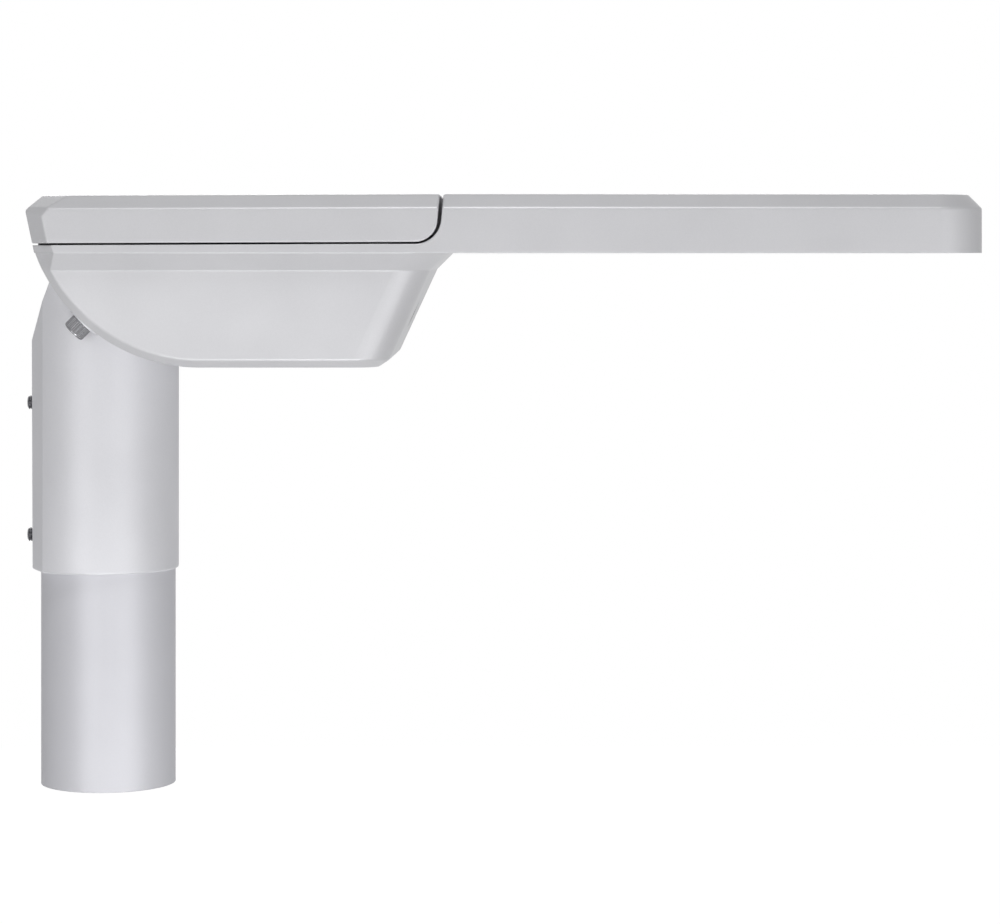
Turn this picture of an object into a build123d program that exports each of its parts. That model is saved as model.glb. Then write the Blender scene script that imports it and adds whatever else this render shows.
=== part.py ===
from build123d import *
import math
import os

# LED street light on a mast stub. Millimetres. X runs along the light, Y across it and Z up.
# The origin is the centre of the mast stub's lower end.

# Mast and spigot
mast_r = 38.0
mast_wall = 3.0
mast_top_z = 224.0
mast_bevel = 0.8
mouth_z = 121.7
socket_gap = 0.25
socket_top_z = 225.0
spigot_r = 43.1
spigot_x = -3.3
flat_half = 8.0
flank_rate = 0.407
flat_foot_x = -41.75
slope_foot = (-42.5, 251.1)
slope_rate = 0.42
spigot_top_z = 288.0
spigot_corner_r = 6.0
mouth_edge_r = 1.2
throat_r = 33.0
throat_outline = [(-33.0, 225.0), (33.0, 225.0), (33.0, 262.0),
                  (-10.0, 300.0), (-16.0, 280.0), (-33.0, 254.0)]
clamp_screw_z = (140.7, 215.8)
clamp_screw_end_x = -45.8
clamp_tip_gap = 0.1

# Screw sizes: radii of shank, head and hexagon socket
m8_r = 4.0
m8_head_r = 6.5
m8_head_height = 8.0
m8_socket_r = 3.46
set_socket_r = 2.3
steel_clear = 0.05

# Tilt joint: the housing's rear is a cylinder about a cross axis, and the spigot's saddle follows it
tilt_x = 61.6
tilt_z = 331.4
arc_r = 92.3
saddle_gap = 0.3
ear_face_r = 97.4
ear_depth = 12.0
ear_half_width = 10.5
ear_half_span = 61.5
bolt_angle = 45.0
bolt_y = 52.0
bolt_hole_r = 4.4
bolt_reach = 14.3
tilt_range = 10.0

# T-slots in the housing's rear wall, and the nuts that slide in them
slot_boss_r = 79.0
nut_room = (82.4, 88.0)
nut_depth = (83.0, 87.7)
nut_half_angle = 5.0
nut_width = 13.4
nut_room_width = 14.2
slot_width = 8.8
slot_end_angle = 3.2
nut_end_angle = 6.5

# Head: lid, housing and LED section share one outer form
tip_x = 482.0
half_width = 118.6
top_z = 332.0
top_drop = 0.7
under_z = 300.7
rim_z = 305.6
rim_slope = 0.0038
lid_foot_z = 306.6
rear_foot_x = -26.6
rear_lean = 0.21
top_chamfer = 7.4
rear_top_run = 9.6
rear_top_fall = 8.0
rear_chamfer = 9.2
bevel_rate = 0.6
tip_radius = 25.0
crease_r = 2.0
edge_r = 0.7
lid_wall = 2.4
lid_corner_r = 12.0
lid_front_x = 188.9
lid_gap = 1.8
front_lean = 0.085
pad_x = (-26.0, -15.0)
pad_y = (60.0, 72.0)
pad_top_z = 305.7

# Gear compartment below the rim
waist_z = 291.3
floor_z = tilt_z - arc_r
waist_half = 109.0
floor_half = 101.5
shoulder_front_x = 194.7
waist_front_x = 185.3
floor_front_x = 161.4
front_corner_r = 19.0
floor_chamfer = 4.2
shoulder_arc_r = 81.1
wall = 3.2
bay_rear_x = -6.0
bay_front_x = 172.0
bay_half = 103.5
bay_corner_r = 8.0

# Seal between lid and housing
seal_rear_x = -12.0
seal_front_x = 177.2
seal_half = 108.8
seal_corner_r = 10.0
seal_width = 4.5
seal_depth = 3.5
seal_play = 0.2
lid_rib = 2.5
web_xs = (40.0, 118.0)
web_depth = 5.0
web_thick = 2.0

# Lid hinge
hinge_x = 182.2
hinge_z = 326.5
hinge_ys = (-70.0, 70.0)
knuckle_r = 3.0
pin_r = 1.5
lug_pin_gap = 0.02
cheek_pin_gap = 0.04
lug_half = 7.0
lug_stem_half = 2.8
lug_side_gap = 0.3
cheek_width = 4.0

# Window on the underside
window_rear_x = 212.0
window_front_x = 471.0
window_half = 108.0
glass_z = 304.2
glass_thick = 4.0
glass_top_z = glass_z + glass_thick
pane_gap = 0.5
glass_seal_thick = 2.5
seat_width = 8.0
led_roof_z = 326.0
window_tip_r = 18.0
window_rear_r = 6.0

# Glass clips
clip_half = 10.0
clip_thick = 1.2
clip_reach = (-7.8, 4.3)
clip_room = 0.3
clip_screw_y = 0.5
clip_screw_r = 1.5
clip_head_r = 3.0
clip_head_height = 1.35
clip_hole_depth = 7.0

# Light engine
board_thick = 1.6
board_size = (214.0, 146.0)
board_x = 341.0
board_corner_r = 3.0
board_face_z = led_roof_z - board_thick
lens_x = 349.0
lens_plate_length = 196.0
lens_rows = 3
lens_cols = 8
lens_pitch_x = 24.0
lens_pitch_y = 44.0
lens_r = 9.0
lens_rise = 6.0
lens_plate = 2.5
lens_pocket = (6.0, 1.3)
lens_low_z = board_face_z - lens_plate
led_size = (5.0, 5.0, 0.9)
board_screw_r = 1.4
board_hole_r = 1.7
board_head_r = 2.8
board_head_height = 2.0

# Gear tray: a wide lower shelf and a narrow raised one
tray_z = 246.0
tray_sheet = 1.5
tray_top_z = tray_z + tray_sheet
tray_x = (68.0, 154.0)
tray_half = 90.0
tray_corner_r = 4.0
tray_feet = [(78.0, -84.0), (78.0, 84.0), (146.0, -84.0), (146.0, 84.0)]
tray_post_r = 5.0
shelf_z = 270.5
shelf_top_z = shelf_z + tray_sheet
shelf_x = (31.0, 69.5)
shelf_half = 44.0
m4_r = 2.0
m4_hole_r = 2.2
m4_thread_r = 2.05
m3_r = 1.5
m3_hole_r = 1.7
m3_thread_r = 1.55

# Gear
foot_thick = 2.5
driver_size = (76.0, 123.0, 30.0)
driver_centre = (112.0, -16.5)
driver_foot_half = 12.0
driver_foot_reach = 8.0
driver_top_z = tray_top_z + driver_size[2]
surge_x = (82.0, 138.0)
surge_y = (58.0, 80.0)
surge_height = 27.0
surge_foot_reach = 8.0
block_x = (44.0, 66.0)
block_half = 24.0
block_foot_half = 32.0
block_foot_thick = 3.0
block_step_z = 13.0
block_height = 20.0
block_screw_y = 28.0
way_count = 5
way_pitch = 9.4
way_half = 3.0
way_height = 7.0
way_depth = 6.0
grip_x = (33.0, 41.0)
grip_half = 18.0
grip_r = 8.0
grip_bore_r = 5.5
grip_screw_y = 13.0
grip_foot_thick = 3.0
earth_place = (55.0, -39.0)
earth_washer_r = 5.0

# Leads
wire_r = 1.1
lead_gap = 1.6
input_wells = [(84.0, 38.0), (90.0, 38.0)]
output_wells = [(124.0, -72.0 - lead_gap), (124.0, -72.0 + lead_gap)]
well_play = 0.25
well_depth = 6.0
wire_in_way_z = shelf_top_z + 6.5

# Supply cable's gland, inside the spigot's throat
gland_angle = 36.0
gland_thread_r = 10.0
gland_hole_gap = 0.1
gland_bore_r = 5.8
gland_face_r = 91.4
gland_hex_r = 12.5
locknut_face_r = 87.8
locknut_hex_r = 13.0
locknut_height = 3.5

# Catch at the lid's rear: button, leaf spring and keeper pin
keeper_x = -21.3
keeper_z = 302.9
keeper_r = 1.5
keeper_half = 14.0
pocket_x = (-22.3, -15.6)
pocket_half = 11.0
pocket_z = 298.6
button_half = 12.7
button_z = (310.3, 319.7)
button_x = (-28.7, -24.0)
button_flange = 1.8
button_flange_x = (-24.2, -22.7)
stem_half = 5.0
stem_z = (311.0, 315.5)
stem_x = (-23.0, -19.75)
leaf_x = (-19.6, -18.8)
leaf_half = 8.0
leaf_z = (300.2, 328.0)
leaf_nose_x = -22.0
leaf_nose_z = (299.4, 300.6)
catch_screw_ys = (-5.0, 5.0)
catch_screw_z = 324.5
catch_screw_r = 1.2
catch_head_r = 2.5
catch_lug_x = -18.75
catch_lug_half = 9.0
catch_lug_z = 318.0

# Duct of the LED leads, from the gear compartment up to the LED chamber
duct_start = Vector(171.0, -60.0, 288.0)
duct_end = Vector(216.0, -60.0, 315.8)
duct_r = 3.5
connector_x = (237.0, 247.0)
connector_y = (-66.0, -54.0)
connector_height = 5.0

# Pressure vent, flush in the gear compartment's slanted front wall
vent_z = 266.0
vent_r = 8.0
vent_depth = 2.4
vent_stem_r = 5.05
vent_boss_r = 11.5

rising = (Align.CENTER, Align.CENTER, Align.MIN)


def tilt_ray(angle, radius):
    """Point on the tilt joint, at an angle from straight down towards the rear."""
    turn = math.radians(angle)
    return Vector(tilt_x - radius * math.sin(turn), 0, tilt_z - radius * math.cos(turn))


def tilt_plane(angle, radius=0.0):
    """Plane that holds the tilt axis: its x runs outward along the ray, its y across the light."""
    turn = math.radians(angle)
    outward = Vector(-math.sin(turn), 0, -math.cos(turn))
    return Plane(origin=tilt_ray(angle, radius), x_dir=outward, z_dir=outward.cross(Vector(0, 1, 0)))


def ray_plane(angle, radius, y=0.0):
    """Plane square to the ray, facing outward, at a radius and a place across the light."""
    turn = math.radians(angle)
    outward = Vector(-math.sin(turn), 0, -math.cos(turn))
    return Plane(origin=tilt_ray(angle, radius) + Vector(0, y, 0), x_dir=(0, 1, 0), z_dir=outward)


def arc_block(inner, outer, y_mid, width, start, end):
    """Curved block about the tilt axis, between two radii and two angles."""
    section = tilt_plane(start) * Pos((inner + outer) / 2, y_mid) * Rectangle(outer - inner, width)
    return revolve(section, Axis((tilt_x, 0, tilt_z), (0, 1, 0)), end - start)


def cross_rod(x, z, radius, y_low, y_high):
    """Cylinder across the light."""
    end = Plane(origin=(x, y_low, z), x_dir=(1, 0, 0), z_dir=(0, 1, 0))
    return extrude(end * Circle(radius), y_high - y_low)


def long_rod(x_low, x_high, y, z, radius):
    """Cylinder along the light."""
    start = Plane(origin=(x_low, y, z), x_dir=(0, 1, 0), z_dir=(1, 0, 0))
    return extrude(start * Circle(radius), x_high - x_low)


def upright_rod(x, y, z_low, z_high, radius):
    return Pos(x, y, z_low) * Cylinder(radius, z_high - z_low, align=rising)


def side_prism(face, half):
    """Side outline drawn in X and Z, extruded to both sides of the middle plane."""
    return extrude(Plane.XZ * face, half, both=True)


def block(x_low, x_high, y_low, y_high, z_low, z_high):
    size = (x_high - x_low, y_high - y_low, z_high - z_low)
    return Pos((x_low + x_high) / 2, (y_low + y_high) / 2, (z_low + z_high) / 2) * Box(*size)


def plan_block(x_low, x_high, half, z_low, z_high, corner):
    """Upright block with rounded corners in plan."""
    outline = Pos((x_low + x_high) / 2, 0) * RectangleRounded(x_high - x_low, 2 * half, corner)
    return Pos(0, 0, z_low) * extrude(outline, z_high - z_low)


def edges_where(shape, test):
    return ShapeList([edge for edge in shape.edges() if test(edge)])


def is_upright(edge):
    return edge.bounding_box().size.Z > 5


def head_form(inset):
    """Outer form of the whole head, or the same form drawn in by a wall's thickness."""
    top = top_z - inset
    low = under_z + inset
    half = half_width - inset
    bevel_in = bevel_rate * inset
    ridge_z = top - top_drop
    foot = rear_foot_x + inset
    rear_top_x = foot - (ridge_z - lid_foot_z) * rear_lean
    rear_low_x = foot + (lid_foot_z - low) * rear_lean
    run = rear_top_run - bevel_in
    fall = rear_top_fall - bevel_in
    tip = tip_x - inset
    outline = Polygon((rear_low_x, low), (tip, low), (tip, top), (lid_front_x + lid_gap, top),
                      (rear_top_x + run, ridge_z), (rear_top_x + fall * rear_lean, ridge_z - fall),
                      align=None)
    form = side_prism(outline, half)
    form = fillet(edges_where(form, lambda e: is_upright(e) and e.center().X > 0), tip_radius - inset)
    rear_edges = edges_where(form, lambda e: is_upright(e) and e.center().X < rear_low_x)
    form = chamfer(rear_edges, rear_chamfer - bevel_in)
    crown = edges_where(form, lambda e: e.bounding_box().min.Z > ridge_z - 0.05
                        and not is_cross_edge(e, half))
    return chamfer(crown, top_chamfer - bevel_in)


def is_cross_edge(edge, half):
    """True for a straight edge across the light, behind the tip."""
    box = edge.bounding_box()
    return box.size.X < 1 and box.size.Y > 2 * half - 2 * tip_radius and box.max.X < tip_x - tip_radius


def soft_head_form():
    """The outer form with its creases rounded, apart from the line where the lid ends."""
    form = head_form(0)
    seam_x = lid_front_x + lid_gap
    crown_z = top_z - top_chamfer - 3

    def is_crease(edge):
        on_crown = edge.bounding_box().max.Z > crown_z and abs(edge.center().X - seam_x) > 0.5
        return on_crown or (is_upright(edge) and edge.center().X < 0)

    return fillet(edges_where(form, is_crease), crease_r)


def eased_rim(form, foot, front):
    """The form with the top edge of its leaning end rounded; that end starts at front, at the foot's z."""
    def is_rim(edge):
        middle = edge.center()
        return middle.Z > top_z - 0.1 and abs(middle.X - front - (middle.Z - foot) * front_lean) < 0.05

    return fillet(edges_where(form, is_rim), edge_r)


def lid_outline(foot, front, radius):
    """Side outline of the space that the lid fills, with its rounded lower front corner."""
    over_z = top_z + 20
    rear_x = rear_foot_x - 40
    front_top = front + (over_z - foot) * front_lean
    rear_foot = foot - rim_slope * (front - rear_x)
    outline = Polygon((rear_x, rear_foot), (front, foot), (front_top, over_z), (rear_x, over_z), align=None)
    corner = outline.vertices().sort_by(lambda v: (v.X - front) ** 2 + (v.Y - foot) ** 2)[0]
    return fillet(corner, radius)


def rounded_section(half, front_x, z, radius):
    """Plan section of the gear bay: square at the rear, rounded at the front."""
    rear_x = rear_foot_x - 40
    outline = Polygon((rear_x, -half), (front_x, -half), (front_x, half), (rear_x, half), align=None)
    corners = outline.vertices().group_by(Axis.X)[-1]
    return Pos(0, 0, z) * fillet(corners, radius)


def arc_trim(ends):
    """What lies outside the housing's rear cylinder; ends lists its radii towards the sides, with their y."""
    bound = half_width + 2
    ends = ends + [(ends[-1][0], bound)]
    points = [(0, -bound)] + [(radius, -y) for radius, y in reversed(ends)] + ends + [(0, bound)]
    keep = revolve(tilt_plane(0) * Polygon(*points, align=None), Axis((tilt_x, 0, tilt_z), (0, 1, 0)), 90)
    return block(rear_foot_x - 50, tilt_x, -bound, bound, floor_z - 20, tilt_z - 1) - keep


def mast_stub():
    tube = extrude(Circle(mast_r) - Circle(mast_r - mast_wall), mast_top_z)
    rims = tube.edges().filter_by(GeomType.CIRCLE).group_by(Axis.Z)[-1]
    return chamfer(rims, mast_bevel)


def spigot_side():
    """Side outline: flat rear, slanted shoulder, and a rounded corner under the saddle."""
    foot_x, foot_z = slope_foot
    front_x = spigot_x + spigot_r
    slope_top_x = foot_x + slope_rate * (spigot_top_z - foot_z)
    outline = Polygon((flat_foot_x, mouth_z), (front_x, mouth_z), (front_x, spigot_top_z),
                      (slope_top_x, spigot_top_z), (foot_x, foot_z), align=None)
    outline -= Pos(tilt_x, tilt_z) * Circle(arc_r + saddle_gap)
    corner = outline.vertices().sort_by(lambda v: (v.X - front_x) ** 2 + (v.Y - tilt_z + arc_r) ** 2)[0]
    return fillet(corner, spigot_corner_r)


def spigot():
    """Elbow casting: round socket with a flat rear, and a saddle that fits the housing's cylinder."""
    rear_x = min(flat_foot_x, slope_foot[0])
    bound = spigot_r + 5
    flank_x = rear_x + flank_rate * (bound - flat_half)
    facets = Polygon((rear_x, -flat_half), (flank_x, -bound), (bound, -bound), (bound, bound),
                     (flank_x, bound), (rear_x, flat_half), align=None)
    outline = (Pos(spigot_x, 0) * Circle(spigot_r)) & facets
    body = Pos(0, 0, mouth_z) * extrude(outline, spigot_top_z - mouth_z)
    body &= side_prism(spigot_side(), bound)
    mouth = edges_where(body, lambda e: e.bounding_box().max.Z < mouth_z + 0.1)
    body = fillet(mouth, mouth_edge_r)
    ear = SlotOverall(2 * ear_half_span, 2 * ear_half_width)
    body += extrude(ray_plane(bolt_angle, ear_face_r) * ear, -ear_depth)
    body -= cross_rod(tilt_x, tilt_z, arc_r + saddle_gap, -ear_half_span - 5, ear_half_span + 5)
    body -= upright_rod(0, 0, mouth_z - 1, socket_top_z, mast_r + socket_gap)
    throat = Polygon(*throat_outline, align=None)
    throat_round = upright_rod(0, 0, socket_top_z - 1, spigot_top_z + 20, throat_r)
    body -= side_prism(throat, throat_r + 1) & throat_round
    for y in (-bolt_y, bolt_y):
        body -= extrude(ray_plane(bolt_angle, ear_face_r + 1, y) * Circle(bolt_hole_r), -ear_depth - 8)
    for z in clamp_screw_z:
        body -= long_rod(rear_x - 1, 1 - mast_r, 0, z, m8_r + steel_clear)
    return body


def clamp_screws():
    """Two M8 set screws with hexagon sockets, which press on the mast."""
    screws = []
    for z in clamp_screw_z:
        screw = long_rod(clamp_screw_end_x, -mast_r - clamp_tip_gap, 0, z, m8_r)
        screw = chamfer(screw.edges().filter_by(GeomType.CIRCLE), 0.8)
        socket = Plane(origin=(clamp_screw_end_x, 0, z), z_dir=(1, 0, 0)) * RegularPolygon(set_socket_r, 6)
        screws.append(screw - extrude(socket, m8_r))
    return screws


def tilt_bolts():
    """Two M8 socket head bolts, square to the housing's cylinder."""
    bolts = []
    for y in (-bolt_y, bolt_y):
        head = extrude(ray_plane(bolt_angle, ear_face_r, y) * Circle(m8_head_r), m8_head_height)
        head = chamfer(head.edges().filter_by(GeomType.CIRCLE), 0.7)
        shank = extrude(ray_plane(bolt_angle, ear_face_r + 0.5, y) * Circle(m8_r), -bolt_reach - 0.5)
        half_head = ray_plane(bolt_angle, ear_face_r + m8_head_height / 2, y)
        bolts.append(head + shank - extrude(half_head * RegularPolygon(m8_socket_r, 6), m8_head_height))
    return bolts


def t_nuts():
    nuts = []
    inner, outer = nut_depth
    for y in (-bolt_y, bolt_y):
        nut = arc_block(inner, outer, y, nut_width, bolt_angle - nut_half_angle, bolt_angle + nut_half_angle)
        hole = ray_plane(bolt_angle, arc_r, y) * Circle(m8_r + steel_clear)
        nuts.append(nut - extrude(hole, inner - arc_r - 5))
    return nuts


def gear_bay():
    """Bulge below the rim: drawn-in sides, slanted front, cylindrical rear and bevelled lower edge."""
    low = rounded_section(floor_half, floor_front_x, floor_z, front_corner_r)
    waist = rounded_section(waist_half, waist_front_x, waist_z, front_corner_r)
    bulge = loft([low, waist], ruled=True) - arc_trim([(arc_r, floor_half)])
    bulge = chamfer(edges_where(bulge, is_lower_edge), floor_chamfer)
    bulge = fillet(edges_where(bulge, is_bevel_crease), crease_r)
    shoulder = rounded_section(half_width, shoulder_front_x, under_z, front_corner_r + 3)
    band = loft([waist, shoulder], ruled=True)
    slab = block(rear_foot_x - 40, shoulder_front_x - 30, -half_width, half_width, under_z, rim_z)
    ends = [(arc_r, waist_half - floor_chamfer), (arc_r - floor_chamfer, waist_half),
            (shoulder_arc_r, half_width)]
    return bulge + ((band + slab) - arc_trim(ends))


def is_lower_edge(edge):
    """True for the floor's outline and for the two curved edges of the rear cylinder."""
    box = edge.bounding_box()
    on_floor = box.max.Z < floor_z + 0.05
    crosses = box.size.Y > 150 and box.max.X < tilt_x + 1
    on_arc = edge.center().X < tilt_x and abs(edge.center().Y) > 90 and box.max.Z > floor_z + 5
    return (on_floor and not crosses) or (on_arc and box.max.Z < waist_z + 0.1 and box.size.Z > 5)


def is_bevel_crease(edge):
    """True for the long edges that the bevel leaves, and false for the short ones across it."""
    box = edge.bounding_box()
    level = box.max.Z < floor_z + floor_chamfer + 1 and box.size.Z < 0.5
    return level or (edge.center().X < tilt_x and box.size.Z > 30)


def bay_cavity():
    """Room for the gear: straight walls at the rim, and the bulge's own form drawn in below."""
    low = rounded_section(floor_half - wall, floor_front_x - wall, floor_z + wall, front_corner_r - wall)
    waist = rounded_section(waist_half - wall, waist_front_x - wall, waist_z, front_corner_r - wall)
    high = rounded_section(waist_half - wall, waist_front_x - wall, rim_z + 1, front_corner_r - wall)
    room = loft([low, waist, high], ruled=True)
    room &= plan_block(bay_rear_x, bay_front_x, bay_half, floor_z, rim_z + 2, bay_corner_r)
    return room - arc_trim([(arc_r - wall - saddle_gap, floor_half)])


def seal_ring(width, z_low, z_high):
    """Closed ring along the line of the lid's seal."""
    out = width / 2
    rear, front = seal_rear_x, seal_front_x
    outer = plan_block(rear - out, front + out, seal_half + out, z_low, z_high, seal_corner_r + out)
    inner = plan_block(rear + out, front - out, seal_half - out, z_low - 1, z_high + 1, seal_corner_r - out)
    return outer - inner


def rest_pads():
    """Two low pads behind the seal, which carry the lid's rear and close the seam to the light."""
    pads = []
    for side in (-1, 1):
        low, high = sorted((side * pad_y[0], side * pad_y[1]))
        pads.append(block(*pad_x, low, high, rim_z - 3, pad_top_z))
    return pads


def window_block(inset, z_low, z_high):
    """Block with the window's outline: small corners at the rear, large ones at the tip."""
    rear = window_rear_x + inset
    front = window_front_x - inset
    half = window_half - inset
    outline = Polygon((rear, -half), (front, -half), (front, half), (rear, half), align=None)
    outline = fillet(outline.vertices().group_by(Axis.X)[-1], window_tip_r - inset / 2)
    outline = fillet(outline.vertices().group_by(Axis.X)[0], window_rear_r - inset / 4)
    return Pos(0, 0, z_low) * extrude(outline, z_high - z_low)


def clip_places():
    """Places of the glass clips: three along each long side and two at each end, turned to face the glass."""
    along = [(x, side * (window_half + 4), 90 - 90 * side) for x in (250, 342, 434) for side in (-1, 1)]
    rear = [(window_rear_x - 4, y, 90) for y in (-50, 50)]
    tip = [(window_front_x + 4, y, -90) for y in (-50, 50)]
    return [Location((x, y, 0), (0, 0, 1), turn) for x, y, turn in along + rear + tip]


def slot_bosses():
    """Thick parts of the rear wall, for the T-slots."""
    return [arc_block(slot_boss_r, arc_r - 1, y, nut_room_width + 7, bolt_angle - 21, bolt_angle + 20)
            for y in (-bolt_y, bolt_y)]


def t_slots():
    """Narrow slots for the bolts, open to the outside, and wide ones behind them for the nuts."""
    low, high = bolt_angle - tilt_range, bolt_angle + tilt_range
    slots = []
    for y in (-bolt_y, bolt_y):
        slots.append(arc_block(*nut_room, y, nut_room_width, low - nut_end_angle, high + nut_end_angle))
        slots.append(arc_block(nut_room[1] - 4, arc_r + 2, y, slot_width, low - slot_end_angle,
                               high + slot_end_angle))
    return slots


def hinge_lug():
    """Lug that stands on the housing's rim, with the hinge pin's hole."""
    lug = block(hinge_x - lug_stem_half, hinge_x + lug_stem_half, -lug_half, lug_half, rim_z - 3, hinge_z)
    lug += cross_rod(hinge_x, hinge_z, knuckle_r, -lug_half, lug_half)
    return lug - cross_rod(hinge_x, hinge_z, pin_r + lug_pin_gap, -lug_half - 1, lug_half + 1)


def housing():
    """Die casting in one piece: gear compartment, LED section and the walls between them."""
    seam_x = lid_front_x + lid_gap
    lid_space = side_prism(lid_outline(rim_z, seam_x, lid_corner_r + lid_gap), half_width + 5)
    ends = [(arc_r, half_width - rear_chamfer), (shoulder_arc_r, half_width)]
    body = eased_rim(soft_head_form() - arc_trim(ends) - lid_space, rim_z, seam_x)
    body += gear_bay() - lid_space
    body -= bay_cavity()
    body += slot_bosses()
    body -= t_slots()
    body -= extrude(ray_plane(gland_angle, arc_r + 5) * Circle(gland_thread_r + gland_hole_gap), -20)
    body -= extrude(ray_plane(gland_angle, gland_face_r) * Circle(gland_hex_r + 1), 5)
    body += rest_pads()
    body -= seal_ring(seal_width, rim_z - seal_depth, rim_z + 5)
    body += [Pos(0, y, 0) * hinge_lug() for y in hinge_ys]
    body -= block(*pocket_x, -pocket_half, pocket_half, pocket_z, rim_z + 1)
    body -= cross_rod(keeper_x, keeper_z, keeper_r + steel_clear, -keeper_half - 0.6, keeper_half + 0.6)
    for x, y in tray_feet:
        body += upright_rod(x, y, floor_z + 1, tray_z, tray_post_r)
        body -= upright_rod(x, y, tray_z - 5, tray_z + 1, m4_thread_r)
    body -= window_block(0, under_z - 1, glass_top_z + glass_seal_thick)
    body -= window_block(seat_width, glass_top_z, led_roof_z)
    reach_in, reach_out = clip_reach
    side = clip_half + clip_room
    pocket = block(-side, side, reach_in - clip_room, reach_out + clip_room, under_z - 1, glass_z)
    hole = upright_rod(0, clip_screw_y, glass_z - 1, glass_z + clip_hole_depth, clip_screw_r + steel_clear)
    for place in clip_places():
        body -= place * pocket
        body -= place * hole
    body -= duct(duct_r, -6, (duct_end - duct_start).length + 6)
    body += extrude(vent_plane() * Circle(vent_boss_r), -wall - vent_depth)
    body -= extrude(vent_plane() * Circle(vent_r + 0.5), -vent_depth)
    body -= extrude(vent_plane() * Circle(vent_r + 0.5), 5)
    return body - extrude(vent_plane() * Circle(vent_stem_r + steel_clear), -wall - vent_depth - 4)


def duct(radius, start, end):
    """Round length of the LED leads' duct, measured from its mouth in the gear compartment."""
    way = (duct_end - duct_start).normalized()
    plane = Plane(origin=duct_start + way * start, x_dir=(0, 1, 0), z_dir=way)
    return extrude(plane * Circle(radius), end - start)


def lid_hinge_cheeks(y):
    """The lid's two cheeks beside one of the housing's lugs."""
    roof = top_z - lid_wall + 0.2
    cheeks = []
    for side in (-1, 1):
        inside = y + side * (lug_half + lug_side_gap)
        low, high = sorted((inside, inside + side * cheek_width))
        cheek = block(hinge_x - knuckle_r, hinge_x + knuckle_r, low, high, hinge_z, roof)
        cheeks.append(cheek + cross_rod(hinge_x, hinge_z, knuckle_r, low, high))
    return cheeks


def lid():
    """Cover casting with its skirt, sealing rib, stiffening webs, hinge cheeks and the button's window."""
    roof = top_z - lid_wall
    bound = half_width + 5
    outer = soft_head_form() & side_prism(lid_outline(lid_foot_z, lid_front_x, lid_corner_r), bound)
    outer = eased_rim(outer, lid_foot_z, lid_front_x)
    hollow = head_form(lid_wall)
    room = lid_outline(lid_foot_z + lid_wall, lid_front_x - lid_wall, lid_corner_r - lid_wall)
    mouth_front = seal_front_x - lid_rib / 2
    mouth = block(rear_foot_x - 20, mouth_front, -bound, bound, lid_foot_z - 4, lid_foot_z + 4)
    body = outer - (hollow & side_prism(room, bound)) - (hollow & mouth)
    body += seal_ring(lid_rib, lid_foot_z, roof + 0.2)
    for x in web_xs:
        body += block(x, x + web_thick, -seal_half, seal_half, roof - web_depth, roof + 0.2)
    for y in hinge_ys:
        reach = lug_half + 0.6
        lug_rear = hinge_x - knuckle_r - 0.4
        body -= block(lug_rear, lid_front_x + 5, y - reach, y + reach, lid_foot_z - 2, roof)
        body += lid_hinge_cheeks(y)
        body -= cross_rod(hinge_x, hinge_z, pin_r + cheek_pin_gap, y - 12, y + 12)
    button_low, button_high = button_z
    body -= block(rear_foot_x - 6, button_flange_x[0] + 0.7, -button_half - 0.3, button_half + 0.3,
                  button_low - 0.3, button_high + 0.3)
    body += block(catch_lug_x, seal_rear_x, -catch_lug_half, catch_lug_half, catch_lug_z, roof - 0.3)
    hole_r = catch_screw_r + steel_clear
    for y in catch_screw_ys:
        body -= long_rod(catch_lug_x - 0.5, catch_lug_x + 5.5, y, catch_screw_z, hole_r)
    return body


def hinge_pins():
    reach = lug_half + lug_side_gap + cheek_width
    return [cross_rod(hinge_x, hinge_z, pin_r, y - reach, y + reach) for y in hinge_ys]


def lid_gasket():
    return seal_ring(seal_width - seal_play, rim_z - seal_depth, lid_foot_z - steel_clear)


def release_button():
    """Push button in the lid's rear wall: cap, flange behind the wall, and stem that reaches the spring."""
    low, high = button_z
    cap = block(*button_x, -button_half, button_half, low, high)
    cap = fillet(cap.edges().filter_by(Axis.X), 2)
    cap = fillet(cap.faces().sort_by(Axis.X)[0].edges(), 0.8)
    over = button_flange
    flange = block(*button_flange_x, -button_half - over, button_half + over, low - 1.4, high + 1.4)
    stem = block(*stem_x, -stem_half, stem_half, *stem_z)
    return cap + flange + stem


def latch_spring():
    """Leaf spring: upper part screwed to the lid, lower end hooked under the keeper pin."""
    leaf = block(*leaf_x, -leaf_half, leaf_half, *leaf_z)
    leaf += block(leaf_nose_x, leaf_x[1], -leaf_half, leaf_half, *leaf_nose_z)
    for y in catch_screw_ys:
        leaf -= long_rod(leaf_x[0] - 1, leaf_x[1] + 1, y, catch_screw_z, catch_screw_r + 0.1)
    return leaf


def latch_screws():
    screws = []
    seat = leaf_x[0] - steel_clear
    for y in catch_screw_ys:
        shank = long_rod(seat, seat + 5, y, catch_screw_z, catch_screw_r)
        screws.append(shank + long_rod(seat - 1.8, seat, y, catch_screw_z, catch_head_r))
    return screws


def latch_keeper():
    return cross_rod(keeper_x, keeper_z, keeper_r, -keeper_half, keeper_half)


def glass_cover():
    return window_block(pane_gap, glass_z, glass_top_z)


def glass_gasket():
    high = glass_top_z + glass_seal_thick
    opening = window_block(seat_width - 1, glass_top_z - 1, high + 1)
    return window_block(pane_gap, glass_top_z, high) - opening


def glass_clips():
    clip = block(-clip_half, clip_half, *clip_reach, glass_z - clip_thick, glass_z)
    clip = fillet(clip.edges().filter_by(Axis.Z), 2)
    clip -= upright_rod(0, clip_screw_y, glass_z - 2, glass_z + 2, clip_screw_r + 0.2)
    return [place * clip for place in clip_places()]


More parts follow.
